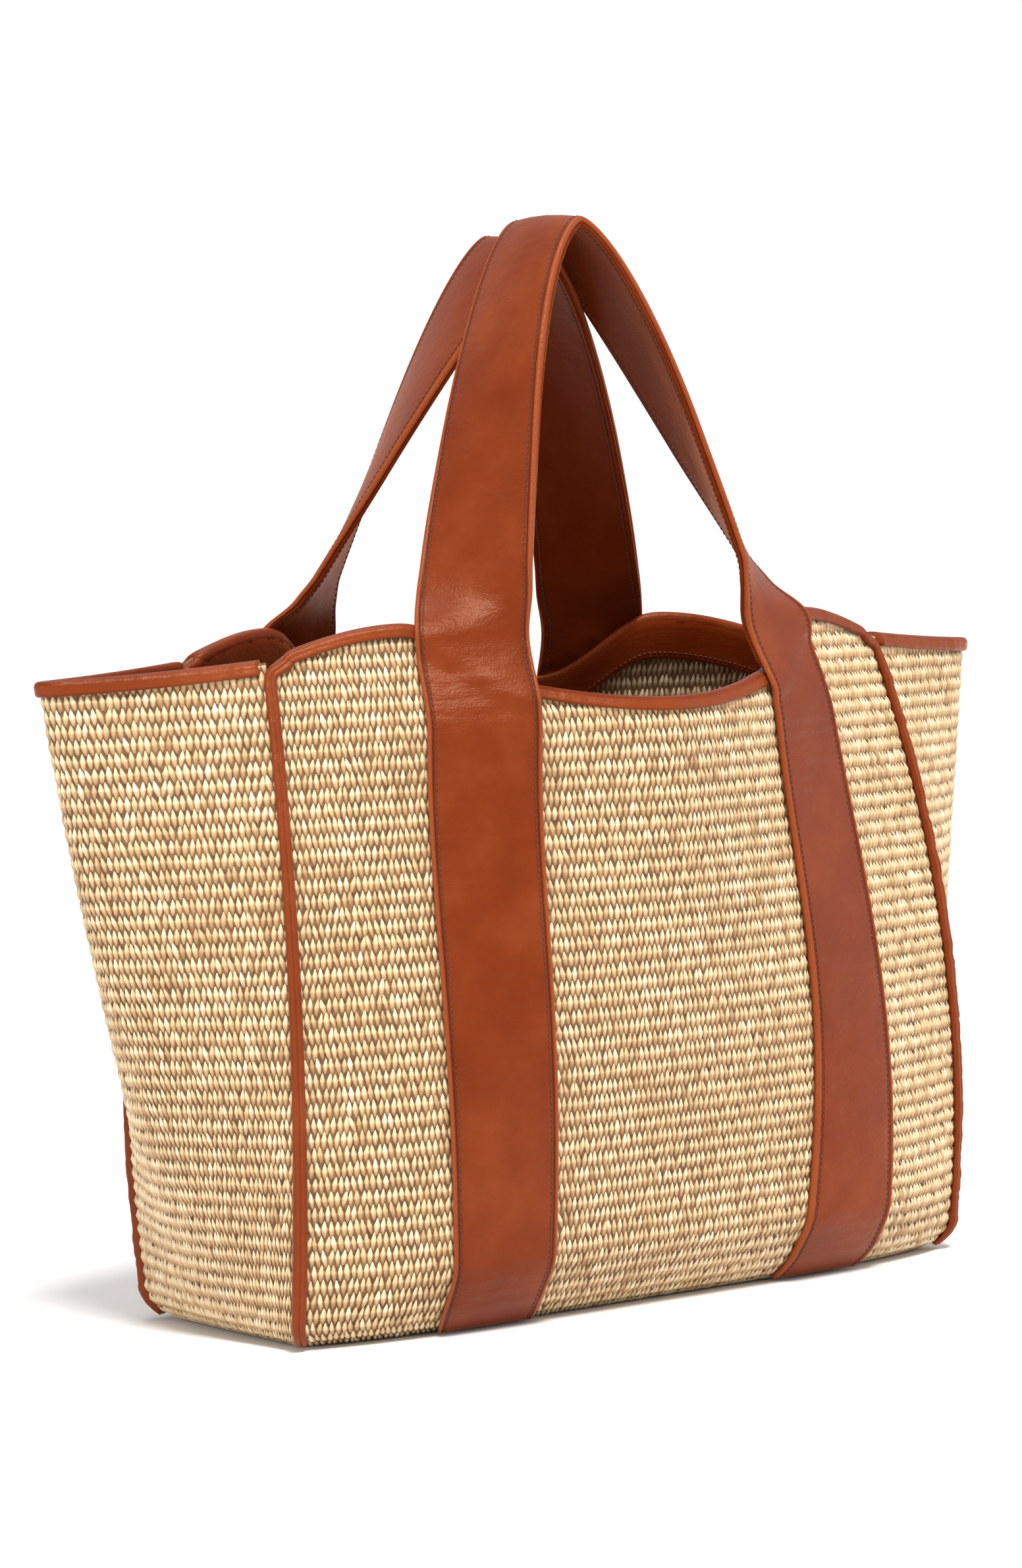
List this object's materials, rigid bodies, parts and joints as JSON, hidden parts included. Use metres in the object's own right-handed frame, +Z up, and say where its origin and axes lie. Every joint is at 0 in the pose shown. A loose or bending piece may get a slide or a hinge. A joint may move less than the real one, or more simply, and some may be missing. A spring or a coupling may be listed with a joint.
{
  "type": "beach bag",
  "caption": "Open woven straw tote for the beach, with leather straps, bindings and a pair of carrying handles that fold outward.",
  "frame": {"origin": "centre of the base, on the surface that the bag stands on", "axes": "+Z up, +X along the bag's width, -Y towards the front panel"},
  "size_m": [0.5154, 0.2188, 0.4851],
  "materials": {
    "straw": "woven straw in rows of pointed stitches, matt with a soft sheen",
    "leather": "smooth cognac leather, fine grain, soft gloss",
    "lining_leather": "dark reddish brown leather, satin",
    "thread": "dark waxed sewing thread"
  },
  "bodies": {
    "bag": {"front_panel": "straw", "back_panel": "straw", "left_gusset": "straw", "right_gusset": "straw", "base_panel": "straw", "front_binding": "leather", "back_binding": "leather", "left_rim_binding": "leather", "right_rim_binding": "leather", "front_facing": "lining_leather", "back_facing": "lining_leather", "left_facing": "lining_leather", "right_facing": "lining_leather", "front_left_strap": "leather", "front_right_strap": "leather", "back_left_strap": "leather", "back_right_strap": "leather", "front_left_strap_stitches": "thread", "front_right_strap_stitches": "thread", "back_left_strap_stitches": "thread", "back_right_strap_stitches": "thread"},
    "front_handle": {"front_handle_outer": "leather", "front_handle_lining": "lining_leather", "front_handle_stitches": "thread"},
    "back_handle": {"back_handle_outer": "leather", "back_handle_lining": "lining_leather", "back_handle_stitches": "thread"}
  },
  "joints": [
    {"name": "front_handle_swing", "type": "hinge", "parent": "bag", "child": "front_handle", "pos_m": [0, -0.086, 0.3], "axis": [1, 0, 0], "range_deg": [0, 160]},
    {"name": "back_handle_swing", "type": "hinge", "parent": "bag", "child": "back_handle", "pos_m": [0, 0.086, 0.3], "axis": [-1, 0, 0], "range_deg": [0, 160]}
  ]
}
